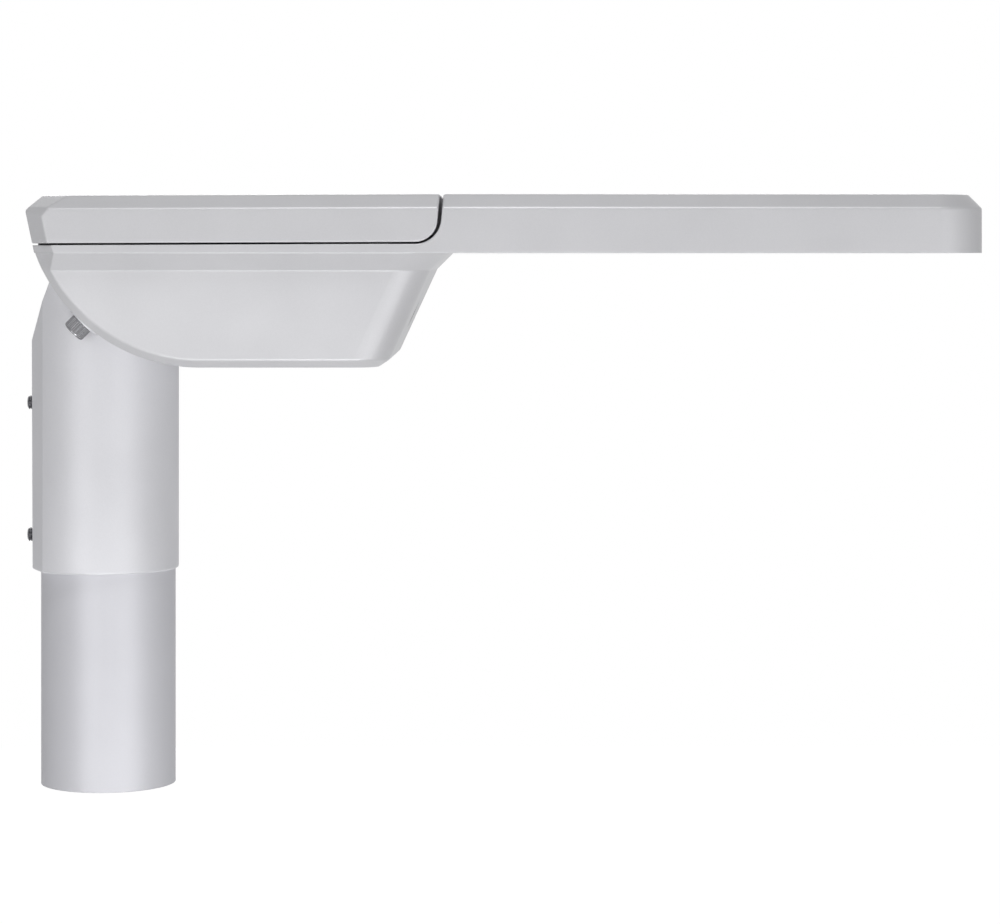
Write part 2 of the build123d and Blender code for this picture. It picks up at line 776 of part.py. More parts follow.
def clip_screws():
    seat = glass_z - clip_thick
    head = upright_rod(0, clip_screw_y, seat - clip_head_height, seat, clip_head_r)
    head = fillet(head.edges().group_by(Axis.Z)[0], 0.6)
    screw = head + upright_rod(0, clip_screw_y, seat - 0.1, seat + clip_hole_depth, clip_screw_r)
    return [place * screw for place in clip_places()]


def lens_places():
    xs = [lens_x + (i - (lens_cols - 1) / 2) * lens_pitch_x for i in range(lens_cols)]
    ys = [(j - (lens_rows - 1) / 2) * lens_pitch_y for j in range(lens_rows)]
    return [(x, y) for x in xs for y in ys]


def board_screw_places():
    reach_x = lens_plate_length / 2 - 4.5
    reach_y = board_size[1] / 2 - 5
    return [(lens_x + i * reach_x, j * reach_y) for i in (-1, 0, 1) for j in (-1, 1)]


def led_board():
    outline = RectangleRounded(*board_size, board_corner_r)
    plate = Pos(board_x, 0, board_face_z) * extrude(outline, board_thick)
    for x, y in board_screw_places():
        plate -= upright_rod(x, y, board_face_z - 1, led_roof_z + 1, board_hole_r)
    return plate


def led_packages():
    length, width, height = led_size
    package = block(-length / 2, length / 2, -width / 2, width / 2, board_face_z - height, board_face_z)
    return [Pos(x, y, 0) * package for x, y in lens_places()]


def lens_array():
    """Moulded lens plate: one dome below each LED package, which sits in a pocket."""
    outline = RectangleRounded(lens_plate_length, board_size[1], board_corner_r)
    plate = Pos(lens_x, 0, lens_low_z) * extrude(outline, lens_plate)
    cap_r = (lens_r ** 2 + lens_rise ** 2) / (2 * lens_rise)
    dome = Pos(0, 0, lens_low_z - lens_rise + cap_r) * Sphere(cap_r)
    dome &= upright_rod(0, 0, lens_low_z - lens_rise - 1, lens_low_z + 0.5, lens_r + 1)
    pocket_width, pocket_depth = lens_pocket
    half = pocket_width / 2
    pocket = block(-half, half, -half, half, board_face_z - pocket_depth, board_face_z + 1)
    for x, y in lens_places():
        plate += Pos(x, y, 0) * dome
    for x, y in lens_places():
        plate -= Pos(x, y, 0) * pocket
    for x, y in board_screw_places():
        plate -= upright_rod(x, y, lens_low_z - 1, board_face_z + 1, board_hole_r)
    return plate


def lens_screws():
    screws = []
    for x, y in board_screw_places():
        head = upright_rod(x, y, lens_low_z - board_head_height, lens_low_z, board_head_r)
        head = fillet(head.edges().group_by(Axis.Z)[0], 0.8)
        screws.append(head + upright_rod(x, y, lens_low_z - 0.1, led_roof_z, board_screw_r))
    return screws


def gear_tray():
    """Bent sheet: a wide lower shelf for the driver and a narrow raised shelf for the terminals."""
    rear, front = shelf_x
    tray = plan_block(*tray_x, tray_half, tray_z, tray_top_z, tray_corner_r)
    tray += block(front - tray_sheet, front, -shelf_half, shelf_half, tray_z, shelf_top_z)
    tray += block(rear, front, -shelf_half, shelf_half, shelf_z, shelf_top_z)
    for x, y in tray_feet:
        tray -= upright_rod(x, y, tray_z - 1, tray_top_z + 1, m4_hole_r)
    for x, y in driver_ends() + surge_ends():
        tray -= upright_rod(x, y, tray_z - 1, tray_top_z + 1, m4_thread_r)
    for x, y in block_ends():
        tray -= upright_rod(x, y, shelf_z - 1, shelf_top_z + 1, m3_thread_r)
    for x, y in grip_ends() + [earth_place]:
        tray -= upright_rod(x, y, shelf_z - 1, shelf_top_z + 1, m4_thread_r)
    return tray


def pan_screw(x, y, seat_z, head_r, shank_r, reach):
    """Pan head screw that stands upright on a seat, its shank reaching down."""
    head = upright_rod(x, y, seat_z, seat_z + head_r * 0.6, head_r)
    head = fillet(head.edges().group_by(Axis.Z)[-1], head_r * 0.3)
    slot_half = head_r * 0.6
    slot = block(x - slot_half, x + slot_half, y - 0.5, y + 0.5, seat_z + head_r * 0.35, seat_z + head_r)
    return head + upright_rod(x, y, seat_z - reach, seat_z + 0.5, shank_r) - slot


def tray_screws():
    return [pan_screw(x, y, tray_top_z, 4, m4_r, 5) for x, y in tray_feet]


def driver_ends():
    """Places of the driver's foot screws, one beyond each end of its case."""
    x, y = driver_centre
    reach = driver_size[1] / 2 + driver_foot_reach / 2
    return [(x, y - reach), (x, y + reach)]


def driver():
    """Driver's case with rounded edges, a foot at each end and terminal wells on top."""
    length_x, length_y, height = driver_size
    x, y = driver_centre
    case = Pos(x, y, tray_top_z) * extrude(RectangleRounded(length_x, length_y, 4), height)
    case = fillet(case.faces().sort_by(Axis.Z)[-1].edges(), 1.5)
    reach = length_y / 2 + driver_foot_reach
    foot_top = tray_top_z + foot_thick
    case += block(x - driver_foot_half, x + driver_foot_half, y - reach, y + reach, tray_top_z, foot_top)
    for place in driver_ends():
        case -= upright_rod(*place, tray_z, tray_top_z + foot_thick + 1, m4_hole_r)
    for well in input_wells + output_wells:
        case -= upright_rod(*well, driver_top_z - well_depth, driver_top_z + 1, wire_r + well_play)
    return case


def driver_screws():
    return [pan_screw(x, y, tray_top_z + foot_thick, 3.6, m4_r, 3.9) for x, y in driver_ends()]


def surge_ends():
    """Places of the surge protector's foot screws."""
    mid = sum(surge_y) / 2
    reach = surge_foot_reach / 2
    return [(surge_x[0] - reach, mid), (surge_x[1] + reach, mid)]


def surge_protector():
    rear, front = surge_x
    side, far = surge_y
    case = block(rear, front, side, far, tray_top_z, tray_top_z + surge_height)
    case = fillet(case.edges().filter_by(Axis.Z), 2)
    case = fillet(case.faces().sort_by(Axis.Z)[-1].edges(), 1)
    case += block(rear - surge_foot_reach, front + surge_foot_reach, side + 4, far - 4, tray_top_z,
                  tray_top_z + foot_thick)
    for place in surge_ends():
        case -= upright_rod(*place, tray_z, tray_top_z + foot_thick + 1, m4_hole_r)
    return case


def surge_screws():
    return [pan_screw(x, y, tray_top_z + foot_thick, 3.6, m4_r, 3.9) for x, y in surge_ends()]


def block_ends():
    x = sum(block_x) / 2
    return [(x, -block_screw_y), (x, block_screw_y)]


def terminal_block():
    """Stepped moulding with a wire entry on both sides of each way and a screw well on top."""
    base = shelf_top_z
    rear, front = block_x
    body = block(rear, front, -block_half, block_half, base, base + block_step_z)
    top = base + block_height
    body += block(rear + 3, front - 3, -block_half, block_half, base + block_step_z - 0.5, top)
    body += block(rear + 6, front - 6, -block_foot_half, block_foot_half, base, base + block_foot_thick)
    entry_z = (base + block_foot_thick, base + block_foot_thick + way_height)
    for way in range(way_count):
        y = (way - (way_count - 1) / 2) * way_pitch
        body -= block(front - way_depth, front + 1, y - way_half, y + way_half, *entry_z)
        body -= block(rear - 1, rear + way_depth, y - way_half, y + way_half, *entry_z)
        body -= upright_rod((rear + front) / 2, y, top - 3, top + 1, way_half - 0.4)
    for place in block_ends():
        body -= upright_rod(*place, base - 1, base + block_foot_thick + 1, m3_hole_r)
    return body


def terminal_screws():
    return [pan_screw(x, y, shelf_top_z + block_foot_thick, 2.8, m3_r, 4.4) for x, y in block_ends()]


def grip_ends():
    x = sum(grip_x) / 2
    return [(x, -grip_screw_y), (x, grip_screw_y)]


def cord_grip():
    """Saddle clamp that holds the supply cable down on the raised shelf."""
    base = shelf_top_z
    rear, front = grip_x
    saddle = block(rear, front, -grip_half, grip_half, base, base + grip_foot_thick)
    saddle += long_rod(rear, front, 0, base, grip_r)
    saddle -= block(rear - 1, front + 1, -grip_half - 1, grip_half + 1, base - grip_r - 1, base)
    saddle -= long_rod(rear - 1, front + 1, 0, base, grip_bore_r)
    for place in grip_ends():
        saddle -= upright_rod(*place, base - 1, base + grip_foot_thick + 1, m4_hole_r)
    return saddle


def cord_grip_screws():
    return [pan_screw(x, y, shelf_top_z + grip_foot_thick, 3.6, m4_r, 4.4) for x, y in grip_ends()]


def earth_screw():
    x, y = earth_place
    washer = upright_rod(x, y, shelf_top_z, shelf_top_z + 1, earth_washer_r)
    return washer + pan_screw(x, y, shelf_top_z + 0.8, 4, m4_r, 4)


def cable_gland():
    """Gland body and dome nut outside the wall, with the thread reaching inside."""
    seat = ray_plane(gland_angle, gland_face_r)
    body = extrude(seat * RegularPolygon(gland_hex_r, 6), 4)
    body += extrude(seat * Pos(0, 0, 4) * Circle(10.4), 3.6)
    dome = extrude(seat * Pos(0, 0, 5) * Circle(9.5), 6)
    rims = dome.edges().filter_by(GeomType.CIRCLE).sort_by(lambda e: (e.center() - seat.origin).length)
    body += fillet(rims[-1], 3)
    body += extrude(seat * Circle(gland_thread_r), -8)
    return body - extrude(seat * Pos(0, 0, -9) * Circle(gland_bore_r), 22)


def gland_locknut():
    plane = ray_plane(gland_angle, locknut_face_r)
    ring = plane * RegularPolygon(locknut_hex_r, 6) - plane * Circle(gland_thread_r + steel_clear)
    return extrude(ring, -locknut_height)


def vent_plane():
    """Plane on the slanted front wall, facing outward."""
    lean = math.atan2(waist_front_x - floor_front_x, waist_z - floor_z)
    x = floor_front_x + (vent_z - floor_z) * math.tan(lean)
    return Plane(origin=(x, 0, vent_z), x_dir=(0, 1, 0), z_dir=(math.cos(lean), 0, -math.sin(lean)))


def breather_vent():
    """Low round vent, flush with the wall in its pocket, with a stem through the wall."""
    plane = vent_plane()
    cap = extrude(plane * Pos(0, 0, -vent_depth) * Circle(vent_r), vent_depth - 0.2)
    rims = cap.edges().filter_by(GeomType.CIRCLE).sort_by(Axis.X)
    cap = fillet(rims[-1], 0.8)
    return cap + extrude(plane * Pos(0, 0, -vent_depth + 0.1) * Circle(vent_stem_r), -6)


def led_connector():
    body = block(*connector_x, *connector_y, board_face_z - connector_height, board_face_z)
    rear = connector_x[0]
    middle_z = board_face_z - connector_height / 2
    for side in (-1, 1):
        y = duct_start.Y + side * lead_gap
        body -= long_rod(rear - 1, rear + 5, y, middle_z, wire_r + well_play)
    return body


def lead_seal():
    """Rubber plug in the duct, with a hole for each LED lead."""
    plug = duct(duct_r - 0.1, 2, 10)
    way = (duct_end - duct_start).normalized()
    for side in (-1, 1):
        plane = Plane(origin=duct_start + Vector(0, side * lead_gap, 0), x_dir=(0, 1, 0), z_dir=way)
        plug -= extrude(plane * Circle(wire_r + steel_clear), 14)
    return plug


def lead(points):
    """Insulated wire along straight runs joined by tangent arcs, each as large as its two runs allow."""
    places = [Vector(*point) for point in points]
    radii = []
    for before, here, after in zip(places, places[1:], places[2:]):
        run_in = here - before
        run_out = after - here
        turn = math.radians(run_in.get_angle(run_out))
        radii.append(0.45 * min(run_in.length, run_out.length) / math.tan(turn / 2))
    path = FilletPolyline(*places, radius=radii)
    print("lead radii", [round(radius, 1) for radius in radii], "length", round(path.length, 1))
    return sweep(Plane(origin=path @ 0, z_dir=path % 0) * Circle(wire_r), path=path)


def input_lead(way, well):
    """Lead from one way of the terminal block, over the driver's edge and down into a well."""
    front = block_x[1]
    z = wire_in_way_z
    y = (way - (way_count - 1) / 2) * way_pitch
    x_end, y_end = well
    return lead([(front - 5, y, z), (front + 7, y, z + 1), (front + 12, y + 7, z + 8),
                 (x_end - 2, y_end - 9, z + 12), (x_end, y_end, z + 9),
                 (x_end, y_end, driver_top_z - well_depth + 1)])


def lead_live():
    return input_lead(4, input_wells[0])


def lead_neutral():
    return input_lead(3, input_wells[1])


def lead_earth():
    front = block_x[1]
    z = wire_in_way_z
    y = -(way_count - 1) / 2 * way_pitch
    x_end, y_end = earth_place
    return lead([(front - 5, y, z), (front + 5, y - 1, z + 1), (front + 7, y_end + 6, z + 2),
                 (front, y_end - 1, z + 1), (x_end + 9, y_end, z - 3.5), (x_end + 5.4, y_end, z - 5)])


def output_lead(side, well):
    """Lead from the driver's output, through the duct, to the connector on the LED board."""
    x, y = well
    top = driver_top_z
    way = (duct_end - duct_start).normalized()
    lane = duct_start + Vector(0, side * lead_gap, 0)
    mouth = lane - way * 12
    inside = lane + way * ((duct_end - duct_start).length + 5)
    face = board_face_z - connector_height / 2
    level = Vector(inside.X + (face - inside.Z) / way.Z * way.X, lane.Y, face)
    return lead([(x, y, top - well_depth + 1), (x, y, top + 9), (x + 10, y + 4, top + 14),
                 (mouth.X - 10, lane.Y, top + 6), tuple(mouth), tuple(level),
                 (connector_x[0] + 2, lane.Y, face)])


def lead_led_minus():
    return output_lead(-1, output_wells[0])


def lead_led_plus():
    return output_lead(1, output_wells[1])


def write(name, shape):
    """Writes one node, whether it is one solid or a group of separate ones."""
    if isinstance(shape, (list, tuple)):
        pieces = [piece if isinstance(piece, Solid) else piece.solids()[0] for piece in shape]
        shape = Compound(children=pieces)
    elif not isinstance(shape, Solid) and len(shape.solids()) == 1:
        shape = shape.solids()[0]
    export_step(shape, "parts/" + name + ".step")
    print(name, len(shape.solids()), round(sum(solid.volume for solid in shape.solids()), 1))


os.makedirs("parts", exist_ok=True)
nodes = [mast_stub, spigot, clamp_screws, tilt_bolts, t_nuts, housing, lid, hinge_pins, lid_gasket,
         release_button, latch_spring, latch_screws, latch_keeper, glass_cover, glass_gasket, glass_clips,
         clip_screws, led_board, led_packages, lens_array, lens_screws, led_connector, gear_tray, tray_screws,
         driver, driver_screws, surge_protector, surge_screws, terminal_block, terminal_screws, cord_grip,
         cord_grip_screws, earth_screw, cable_gland, gland_locknut, breather_vent, lead_seal, lead_live,
         lead_neutral, lead_earth, lead_led_minus, lead_led_plus]
for node in nodes:
    write(node.__name__, node())
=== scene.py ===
import math

import bmesh
import bpy
from mathutils import Matrix, Vector


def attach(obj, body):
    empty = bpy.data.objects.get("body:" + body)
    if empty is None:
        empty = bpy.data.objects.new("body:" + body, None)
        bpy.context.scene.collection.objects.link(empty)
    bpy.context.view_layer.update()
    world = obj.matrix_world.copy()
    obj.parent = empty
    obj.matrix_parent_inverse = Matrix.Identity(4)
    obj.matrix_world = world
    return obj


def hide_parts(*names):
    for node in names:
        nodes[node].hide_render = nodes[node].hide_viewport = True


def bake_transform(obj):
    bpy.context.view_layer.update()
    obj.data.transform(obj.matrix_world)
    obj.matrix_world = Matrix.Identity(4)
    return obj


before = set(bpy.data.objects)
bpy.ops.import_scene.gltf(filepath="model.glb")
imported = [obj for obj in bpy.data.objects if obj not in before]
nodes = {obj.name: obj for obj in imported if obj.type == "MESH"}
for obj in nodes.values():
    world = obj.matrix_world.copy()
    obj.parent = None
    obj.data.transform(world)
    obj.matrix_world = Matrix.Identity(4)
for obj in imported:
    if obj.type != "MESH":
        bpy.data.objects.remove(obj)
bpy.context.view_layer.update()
mm = 0.001  # one millimetre in Blender's metres
print("frame loaded:", len(nodes), "nodes")


# Colours, shader nodes and materials

def srgb(code):
    parts = [int(code[i:i + 2], 16) / 255 for i in (1, 3, 5)]
    return [p / 12.92 if p <= 0.04045 else ((p + 0.055) / 1.055) ** 2.4 for p in parts] + [1.0]


def addNode(tree, kind, settings=None, links=None):
    node = tree.nodes.new(kind)
    for name, value in (settings or {}).items():
        if name in node.inputs:
            node.inputs[name].default_value = value
        else:
            setattr(node, name, value)
    for name, source in (links or {}).items():
        tree.links.new(source, node.inputs[name])
    return node


def newMaterial(name, shader):
    material = bpy.data.materials.new(name)
    material.use_nodes = True
    tree = material.node_tree
    tree.nodes.clear()
    surface = addNode(tree, "ShaderNodeBsdfPrincipled", shader)
    addNode(tree, "ShaderNodeOutputMaterial", links={"Surface": surface.outputs["BSDF"]})
    place = addNode(tree, "ShaderNodeTexCoord").outputs["Object"]
    return material, tree, surface, place


def perMm(size):
    return 1 / (size * mm)  # pattern repeats per metre, for a feature of this size in millimetres


def noise(tree, place, sizeMm, detail=2):
    settings = {"Scale": perMm(sizeMm), "Detail": detail}
    return addNode(tree, "ShaderNodeTexNoise", settings, {"Vector": place}).outputs["Fac"]


def mixed(tree, share, first, second):
    return addNode(tree, "ShaderNodeMix", {"Factor": share}, {"A": first, "B": second}).outputs["Result"]


def tint(tree, surface, source, darker, lighter, low=0.3, high=0.7):
    ramp = addNode(tree, "ShaderNodeValToRGB", links={"Fac": source})
    ramp.color_ramp.elements[0].color = srgb(darker)
    ramp.color_ramp.elements[0].position = low
    ramp.color_ramp.elements[1].color = srgb(lighter)
    ramp.color_ramp.elements[1].position = high
    tree.links.new(ramp.outputs["Color"], surface.inputs["Base Color"])


def relief(tree, surface, source, depthMm, strength=0.5, edgeMm=0):
    bump = addNode(tree, "ShaderNodeBump", {"Strength": strength, "Distance": depthMm * mm}, {"Height": source})
    if edgeMm:  # shades sharp edges as if they were rounded
        edges = addNode(tree, "ShaderNodeBevel", {"samples": 6, "Radius": edgeMm * mm})
        tree.links.new(edges.outputs["Normal"], bump.inputs["Normal"])
    tree.links.new(bump.outputs["Normal"], surface.inputs["Normal"])


def dress(material, *names):
    for name in names:
        nodes[name].data.materials.clear()
        nodes[name].data.materials.append(material)


# Powder coat on the die castings: sprayed dry and baked, with a little aluminium flake in the grey,
# so round parts show a broad soft glow and flat ones a fine orange-peel grain. On the spigot and the mast the gloss
# is turned down, so that their sides darken more towards the edge
powderCoat = {
    "darker": "#C2C2C5", "lighter": "#CBCBCE", "metallic": 0.28, "roughness": 0.42, "gloss": 0.5, "ior": 1.5,
    "cloudMm": 60, "grainMm": 0.9, "grainShare": 0.25, "peelMm": 3.0, "peelShare": 0.4, "grainDepth": 0.09,
    "edgeMm": 1.2,
}
spigotCoat = dict(powderCoat, darker="#D4D4D8", lighter="#DCDCE0", metallic=0.35, roughness=0.5, gloss=0.12)
mastCoat = dict(powderCoat, darker="#CBCBD0", lighter="#D0D0D5", metallic=0.35, roughness=0.5, gloss=0.05,
                grainDepth=0.02)


def makePowderCoat(name, look):
    material, tree, surface, place = newMaterial(name, {
        "Roughness": look["roughness"], "Metallic": look["metallic"], "IOR": look["ior"],
        "Specular IOR Level": look["gloss"]})
    cloud = noise(tree, place, look["cloudMm"])
    grain = noise(tree, place, look["grainMm"])
    peel = noise(tree, place, look["peelMm"], 1)
    tint(tree, surface, mixed(tree, look["grainShare"], cloud, grain), look["darker"], look["lighter"])
    relief(tree, surface, mixed(tree, look["peelShare"], grain, peel), look["grainDepth"], edgeMm=look["edgeMm"])
    return material


dress(makePowderCoat("powderCoatedCasting", powderCoat), "housing", "lid", "release_button")
dress(makePowderCoat("powderCoatedSpigot", spigotCoat), "spigot")
dress(makePowderCoat("powderCoatedTube", mastCoat), "mast_stub")


# Stainless steel: screws turned from bar, with a fine grain, and clips and spring pressed from rolled strip, with
# fine lines along it. Both are too fine to show at their real width, so they are drawn 0.3 to 0.4 mm wide
# Both base colours here, and the spring strip's below, are darker than bare steel is: painted shade, standing for the
# dark surroundings that polished steel reflects. The spread between darker and lighter is the steel's own grain
stainlessWithPaintedShade = {"darker": "#6A6A6D", "lighter": "#8C8C8F", "roughness": 0.26, "lineMm": 0.3, "runMm": 12,
             "lineDepth": 0.01}
springStripWithPaintedShade = dict(stainlessWithPaintedShade, darker="#75767A", lighter="#8C8D90", roughness=0.34, lineMm=0.4)


def makeSteel(name, look, across):
    material, tree, surface, place = newMaterial(name, {"Metallic": 1.0, "Roughness": look["roughness"]})
    fine, run = perMm(look["lineMm"]), perMm(look["runMm"])
    stretch = [fine if crossed else run for crossed in across]  # the lines run along the axes marked 0
    scaled = addNode(tree, "ShaderNodeMapping", {"Scale": stretch}, {"Vector": place})
    lines = addNode(tree, "ShaderNodeTexNoise", {"Scale": 1.0, "Detail": 3}, {"Vector": scaled.outputs["Vector"]})
    tint(tree, surface, lines.outputs["Fac"], look["darker"], look["lighter"])
    relief(tree, surface, lines.outputs["Fac"], look["lineDepth"])
    return material


turnedSteel = makeSteel("turnedStainlessSteel", stainlessWithPaintedShade, (1, 1, 1))
dress(turnedSteel, "t_nuts", "hinge_pins", "latch_screws", "latch_keeper", "tray_screws", "driver_screws",
      "surge_screws", "terminal_screws", "cord_grip_screws")
dress(makeSteel("rolledStainlessSteel", stainlessWithPaintedShade, (0, 1, 1)), "glass_clips")
dress(makeSteel("springSteelStrip", springStripWithPaintedShade, (0, 1, 0)), "latch_spring")


# Galvanised sheet: hot-dipped zinc freezes in spangles, each reflecting a little differently
zincSheet = {"darker": "#8F9498", "lighter": "#B2B7BA", "spangleMm": 9, "smoothest": 0.34, "roughest": 0.52,
             "edgeDepth": 0.01, "edgeStrength": 0.3}


def makeZinc(name, look):
    material, tree, surface, place = newMaterial(name, {"Metallic": 1.0})
    cells = addNode(tree, "ShaderNodeTexVoronoi", {"Scale": perMm(look["spangleMm"])}, {"Vector": place})
    shade = addNode(tree, "ShaderNodeSeparateColor", links={"Color": cells.outputs["Color"]})
    tint(tree, surface, shade.outputs["Red"], look["darker"], look["lighter"], 0.0, 1.0)
    rough = addNode(tree, "ShaderNodeMapRange", {"To Min": look["smoothest"], "To Max": look["roughest"]},
                    {"Value": shade.outputs["Green"]})
    tree.links.new(rough.outputs["Result"], surface.inputs["Roughness"])
    relief(tree, surface, shade.outputs["Blue"], look["edgeDepth"], look["edgeStrength"])
    return material


dress(makeZinc("galvanisedSheet", zincSheet), "gear_tray")


# Mouldings: the tool's spark-eroded texture leaves an even matt grain. Rubber is duller, with faint bloom
mouldCloud = {"cloudMm": 25, "grainShare": 0.4}
mouldings = {
    "whitePolycarbonate": {"nodes": ("driver", "led_connector"), "darker": "#E2E2DE", "lighter": "#EAEAE6",
                           "roughness": 0.45, "grainMm": 0.5, "depth": 0.02, "ior": 1.58},
    "darkPolybutylene": {"nodes": ("surge_protector",), "darker": "#2E2F31", "lighter": "#38393B",
                         "roughness": 0.5, "grainMm": 0.5, "depth": 0.02, "ior": 1.55},
    "greyPolyamide": {"nodes": ("terminal_block",), "darker": "#8B8E90", "lighter": "#97999B",
                      "roughness": 0.42, "grainMm": 0.6, "depth": 0.015, "ior": 1.53},
    "blackPolyamide": {"nodes": ("cord_grip", "cable_gland", "gland_locknut", "breather_vent"),
                       "darker": "#1C1C1D", "lighter": "#262627", "roughness": 0.48, "grainMm": 0.6,
                       "depth": 0.02, "ior": 1.53},
    "blackSilicone": {"nodes": ("lid_gasket", "glass_gasket", "lead_seal"), "darker": "#202021",
                      "lighter": "#2C2C2D", "roughness": 0.7, "grainMm": 1.2, "depth": 0.03, "ior": 1.41},
}


def makeMoulding(name, look):
    material, tree, surface, place = newMaterial(name, {"Roughness": look["roughness"], "IOR": look["ior"]})
    grain = noise(tree, place, look["grainMm"])
    both = mixed(tree, mouldCloud["grainShare"], noise(tree, place, mouldCloud["cloudMm"]), grain)
    tint(tree, surface, both, look["darker"], look["lighter"])
    relief(tree, surface, grain, look["depth"])
    return material


for name, look in mouldings.items():
    dress(makeMoulding(name, look), *look["nodes"])


# Extruded PVC sleeves: smooth and slightly glossy, with a faint ripple from the die
sleeves = {
    "lead_live": "#5A3018", "lead_neutral": "#2660B4", "lead_led_minus": "#1E1E20", "lead_led_plus": "#B3201C",
}
sleeveLook = {"roughness": 0.32, "ior": 1.53, "rippleMm": 4, "rippleDepth": 0.03, "lift": 12}
earthSleeve = {"green": "#2F8A34", "yellow": "#E3CB2B", "bandFrom": 0.55, "bandTo": 0.58}  # two yellow bands on green


def rippledSleeve(name, look):
    material, tree, surface, place = newMaterial(name, {"Roughness": look["roughness"], "IOR": look["ior"]})
    ripple = noise(tree, place, look["rippleMm"], 1)
    relief(tree, surface, ripple, look["rippleDepth"])
    return material, tree, surface, ripple


def makeSleeve(name, colour, look):
    material, tree, surface, ripple = rippledSleeve(name, look)
    lighter = "#" + "".join("%02X" % min(255, int(colour[i:i + 2], 16) + look["lift"]) for i in (1, 3, 5))
    tint(tree, surface, ripple, colour, lighter)
    return material


def makeEarthSleeve(bands, look):
    material, tree, surface, ripple = rippledSleeve("pvcSleeveGreenYellow", look)
    facing = addNode(tree, "ShaderNodeTexCoord").outputs["Normal"]
    parts = addNode(tree, "ShaderNodeSeparateXYZ", links={"Vector": facing})
    height = addNode(tree, "ShaderNodeMath", {"operation": "ABSOLUTE"}, {0: parts.outputs["Z"]})
    tint(tree, surface, height.outputs[0], bands["green"], bands["yellow"], bands["bandFrom"], bands["bandTo"])
    return material


for name, colour in sleeves.items():
    dress(makeSleeve("pvcSleeve" + name[4:].title().replace("_", ""), colour, sleeveLook), name)
dress(makeEarthSleeve(earthSleeve, sleeveLook), "lead_earth")


# Toughened float glass and moulded acrylic: clear, glossy, and never quite flat
clearSheets = {
    "toughenedGlass": {"node": "glass_cover", "colour": "#F6FAF8", "ior": 1.52, "roughness": 0.0, "waveMm": 60,
                       "depth": 0.02},
    "mouldedAcrylic": {"node": "lens_array", "colour": "#FBFBFD", "ior": 1.49, "roughness": 0.03, "waveMm": 8,
                       "depth": 0.01},
}
waveStrength = 0.3


def makeClear(name, look):
    material, tree, surface, place = newMaterial(name, {
        "Base Color": srgb(look["colour"]), "Roughness": look["roughness"], "IOR": look["ior"],
        "Transmission Weight": 1.0})
    relief(tree, surface, noise(tree, place, look["waveMm"], 1), look["depth"], waveStrength)
    return material


for name, look in clearSheets.items():
    dress(makeClear(name, look), look["node"])


# White solder mask: a printed lacquer over the board. Wide copper lands lie under it, one from each LED to the
# next, and show as slightly raised and slightly warmer blocks
solderMask = {"lighter": "#EFF0EC", "roughness": 0.35, "ior": 1.5}
copperLands = {"colour": "#DAD9CF", "lengthMm": 24, "rowMm": 44, "gapMm": 1.0, "edgeShare": 0.3, "startMm": (349, 22),
               "depth": 0.06}


def makeBoard(look, lands):
    material, tree, surface, place = newMaterial("whiteSolderMask", {
        "Roughness": look["roughness"], "IOR": look["ior"]})
    startX, startY = lands["startMm"]
    moved = addNode(tree, "ShaderNodeMapping", {"Location": (-startX * mm, -startY * mm, 0)}, {"Vector": place})
    blocks = addNode(tree, "ShaderNodeTexBrick", {
        "offset": 0.0, "squash": 1.0, "Scale": 1.0, "Brick Width": lands["lengthMm"] * mm,
        "Row Height": lands["rowMm"] * mm, "Mortar Size": lands["gapMm"] * mm, "Mortar Smooth": lands["edgeShare"],
        "Color1": srgb(lands["colour"]), "Color2": srgb(lands["colour"]), "Mortar": srgb(look["lighter"])},
        {"Vector": moved.outputs["Vector"]})
    tree.links.new(blocks.outputs["Color"], surface.inputs["Base Color"])
    relief(tree, surface, blocks.outputs["Fac"], -lands["depth"])
    return material


dress(makeBoard(solderMask, copperLands), "led_board")


# Turned brass: bright, with a fine grain from the tool
brass = {"darker": "#A98844", "lighter": "#C2A057", "roughness": 0.3, "lineMm": 0.3, "runMm": 0.3, "lineDepth": 0.01}
turnedBrass = makeSteel("turnedBrass", brass, (1, 1, 1))
dress(turnedBrass, "earth_screw")
print("node materials done")


# Turned pieces: rows of (radius, height, shape) in millimetres from the outer end inwards, one ring for each.
# A shape turns a row's radius into the reach at an angle, and steps is the number of points around a ring. The
# small offsets in the rows are chamfers and rounded edges

def roundShape(radius, angle, height):
    return radius


def hexShape(radius, angle, height):
    turn = (angle + math.pi / 6) % (math.pi / 3) - math.pi / 6
    return radius * math.cos(math.pi / 6) / math.cos(turn)  # radius is to the corners


def knurlShape(count, depth):
    def shape(radius, angle, height):
        return radius - depth * abs((angle * count / (2 * math.pi)) % 1 * 2 - 1)
    return shape


def threadShape(pitch, depth):
    def shape(radius, angle, height):
        return radius - depth * abs((height / pitch - angle / (2 * math.pi)) % 1 * 2 - 1)
    return shape


def slotShape(longHalf, shortHalf):
    def shape(radius, angle, height):
        along, across = abs(math.cos(angle)), abs(math.sin(angle))
        return min(longHalf / max(along, 1e-6), shortHalf / max(across, 1e-6))
    return shape


def turnedMesh(name, rows, places, steps):
    points, faces = [], []
    for place in places:
        first = len(points)
        for radius, height, shape in rows:
            for i in range(steps):
                angle = 2 * math.pi * i / steps
                reach = shape(radius, angle, height)
                points.append(place @ (Vector((reach * math.cos(angle), reach * math.sin(angle), height)) * mm))
        for row in range(len(rows) - 1):
            for i in range(steps):
                near, far = first + row * steps, first + (row + 1) * steps
                faces.append((near + i, near + (i + 1) % steps, far + (i + 1) % steps, far + i))
        faces.append(tuple(first + i for i in reversed(range(steps))))
        faces.append(tuple(first + (len(rows) - 1) * steps + i for i in range(steps)))
    mesh = bpy.data.meshes.new(name)
    mesh.from_pydata(points, [], faces)
    mesh.validate()
    return mesh


